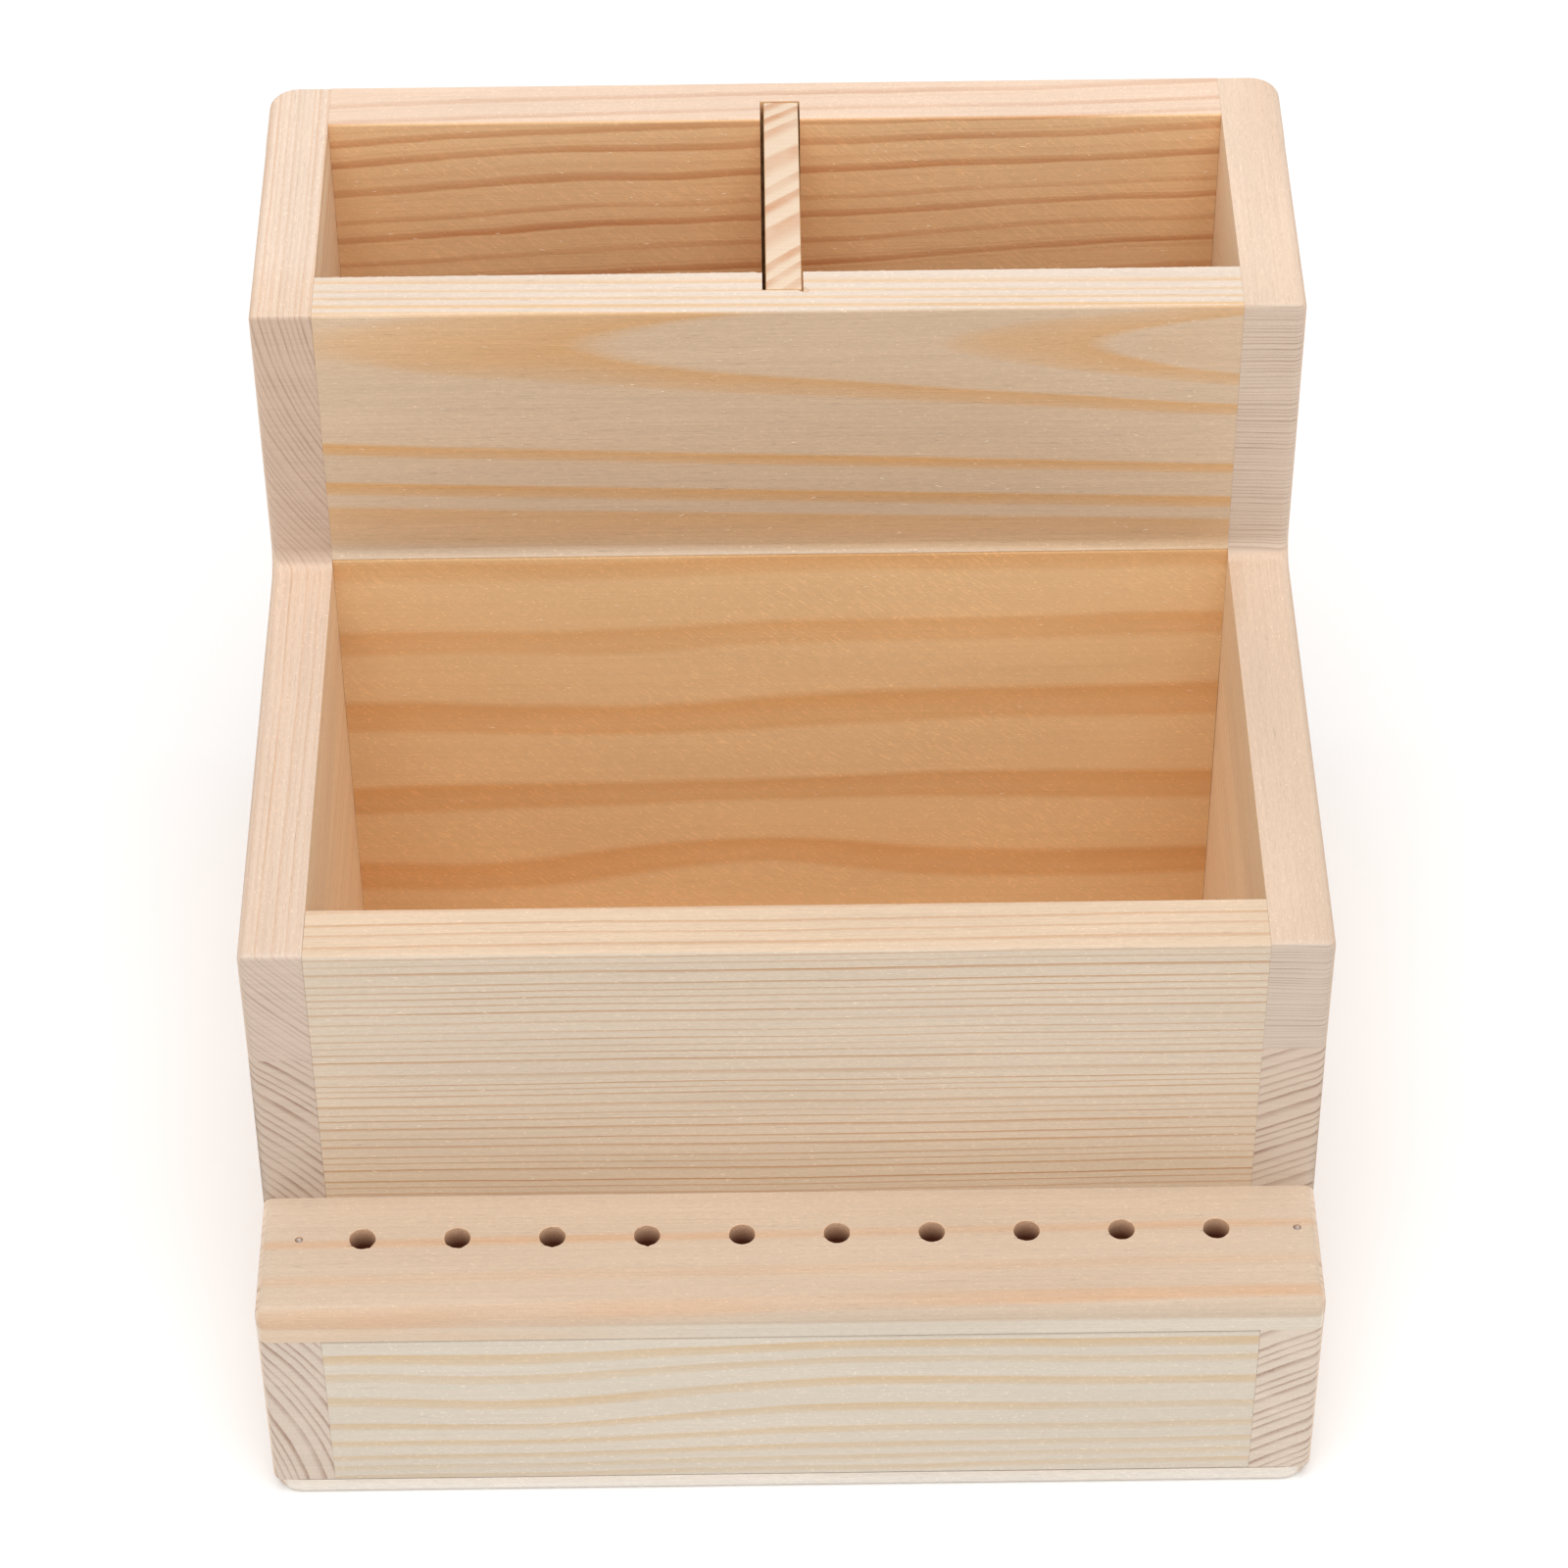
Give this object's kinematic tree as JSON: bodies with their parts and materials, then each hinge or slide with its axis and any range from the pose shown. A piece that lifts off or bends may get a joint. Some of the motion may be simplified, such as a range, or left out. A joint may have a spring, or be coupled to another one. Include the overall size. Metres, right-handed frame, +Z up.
{
  "type": "tool storage caddy",
  "caption": "Stepped pine desk caddy for hand tools: two deep rear compartments with a lift-out divider, an open tray and a low front rail with a row of tool holes.",
  "frame": {"origin": "middle of the underside, at the centre of the bounding box seen from above", "axes": "+Z up; +Y from the front rail towards the tall back wall; +X to the right as seen from the front"},
  "size_m": [0.2, 0.21, 0.18],
  "materials": {
    "side_pine": "bare planed pine, cream to peach, fine straight grain",
    "tan_pine": "bare pine, tan, broad wavy bands",
    "pale_pine": "bare pine, pale, fine lines",
    "end_grain_pine": "bare pine, end grain on its rim",
    "brad_steel": "dull wire"
  },
  "bodies": {
    "caddy": {"back_wall_lower_plank": "tan_pine", "back_wall_upper_plank": "tan_pine", "bottom_board": "pale_pine", "bottom_brad_back_left": "brad_steel", "bottom_brad_back_right": "brad_steel", "bottom_brad_front_left": "brad_steel", "bottom_brad_front_right": "brad_steel", "bottom_brad_left_1": "brad_steel", "bottom_brad_left_2": "brad_steel", "bottom_brad_left_3": "brad_steel", "bottom_brad_right_1": "brad_steel", "bottom_brad_right_2": "brad_steel", "bottom_brad_right_3": "brad_steel", "front_board": "pale_pine", "holed_rail": "side_pine", "left_side_brad_back_1": "brad_steel", "left_side_brad_back_2": "brad_steel", "left_side_brad_back_3": "brad_steel", "left_side_brad_back_4": "brad_steel", "left_side_brad_front_1": "brad_steel", "left_side_brad_middle_1": "brad_steel", "left_side_brad_middle_2": "brad_steel", "left_side_brad_middle_3": "brad_steel", "left_side_brad_middle_4": "brad_steel", "left_side_brad_tray_1": "brad_steel", "left_side_brad_tray_2": "brad_steel", "left_side_brad_tray_3": "brad_steel", "left_side_lower_plank": "side_pine", "left_side_upper_plank": "side_pine", "middle_wall_lower_plank": "tan_pine", "middle_wall_upper_plank": "pale_pine", "rail_brad_left": "brad_steel", "rail_brad_right": "brad_steel", "right_side_brad_back_1": "brad_steel", "right_side_brad_back_2": "brad_steel", "right_side_brad_back_3": "brad_steel", "right_side_brad_back_4": "brad_steel", "right_side_brad_front_1": "brad_steel", "right_side_brad_middle_1": "brad_steel", "right_side_brad_middle_2": "brad_steel", "right_side_brad_middle_3": "brad_steel", "right_side_brad_middle_4": "brad_steel", "right_side_brad_tray_1": "brad_steel", "right_side_brad_tray_2": "brad_steel", "right_side_brad_tray_3": "brad_steel", "right_side_lower_plank": "side_pine", "right_side_upper_plank": "side_pine", "tray_front_wall": "pale_pine"},
    "divider": {"divider": "end_grain_pine"}
  },
  "joints": [
    {"name": "divider_slide", "type": "slide", "parent": "caddy", "child": "divider", "axis": [0, 0, 1], "range_m": [0, 0.18]}
  ]
}
